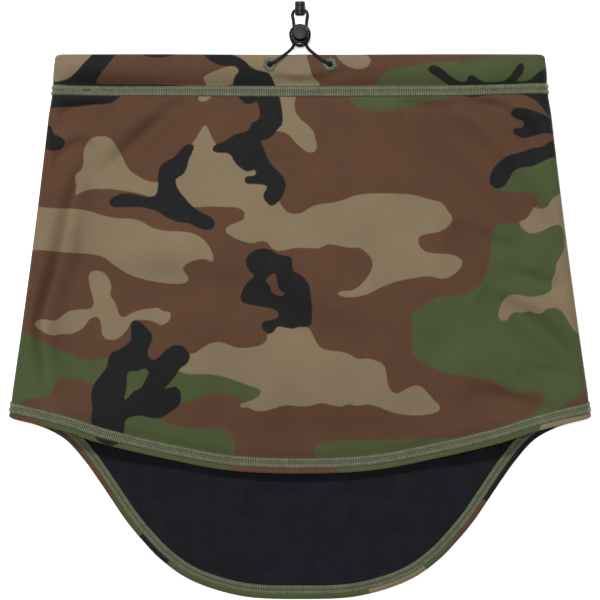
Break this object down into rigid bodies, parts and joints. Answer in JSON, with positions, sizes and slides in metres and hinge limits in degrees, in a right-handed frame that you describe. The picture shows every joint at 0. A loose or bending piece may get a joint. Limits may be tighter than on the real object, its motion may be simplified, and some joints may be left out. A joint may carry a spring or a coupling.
{
  "type": "neck gaiter",
  "caption": "Tapered softshell neck gaiter with a camouflage face, dark lining, long rounded back bib and an elastic neck drawcord with a ball cord lock.",
  "frame": {"origin": "middle of the cloth's outline, on the surface that the gaiter lies on, cords and their fittings left out", "axes": "+X across the gaiter to the wearer's left, +Y up the neck towards the drawcord, +Z out of the front panel"},
  "size_m": [0.3064, 0.3153, 0.02],
  "materials": {
    "printed_cloth": "matt printed softshell",
    "lining": "grid knit, matt",
    "thread": "polyester thread",
    "elastic_cord": "braided elastic cord",
    "black_plastic": "satin moulded",
    "spring_steel": "drawn wire"
  },
  "bodies": {
    "gaiter": {"front_panel": "printed_cloth", "back_panel": "printed_cloth", "front_lining": "lining", "back_lining": "lining", "neck_stitching_outer": "thread", "neck_stitching_inner": "thread", "front_hem_stitching_outer": "thread", "front_hem_stitching_inner": "thread", "back_hem_stitching_outer": "thread", "back_hem_stitching_inner": "thread", "left_side_seam": "thread", "right_side_seam": "thread", "left_eyelet": "thread", "right_eyelet": "thread", "drawcord": "elastic_cord"},
    "cord_lock": {"lock_barrel": "black_plastic", "lock_spring": "spring_steel"},
    "push_button": {"lock_button": "black_plastic"},
    "cord_end": {"cord_end_body": "black_plastic", "cord_end_cap": "black_plastic", "drawcord_loop": "elastic_cord"}
  },
  "joints": [
    {"name": "lock_slide", "type": "slide", "parent": "gaiter", "child": "cord_lock", "axis": [0, 1, 0], "range_m": [-0.003, 0.025], "stiffness_N_per_m": 30, "deforming": ["drawcord"]},
    {"name": "cord_draw", "type": "slide", "parent": "cord_lock", "child": "cord_end", "axis": [0, 1, 0], "range_m": [-0.004, 0.06], "deforming": ["drawcord_loop"]},
    {"name": "button_press", "type": "slide", "parent": "cord_lock", "child": "push_button", "axis": [0, -0.2419, -0.9703], "range_m": [0, 0.002], "stiffness_N_per_m": 300, "springref_m": -0.001, "deforming": ["lock_spring"]}
  ]
}
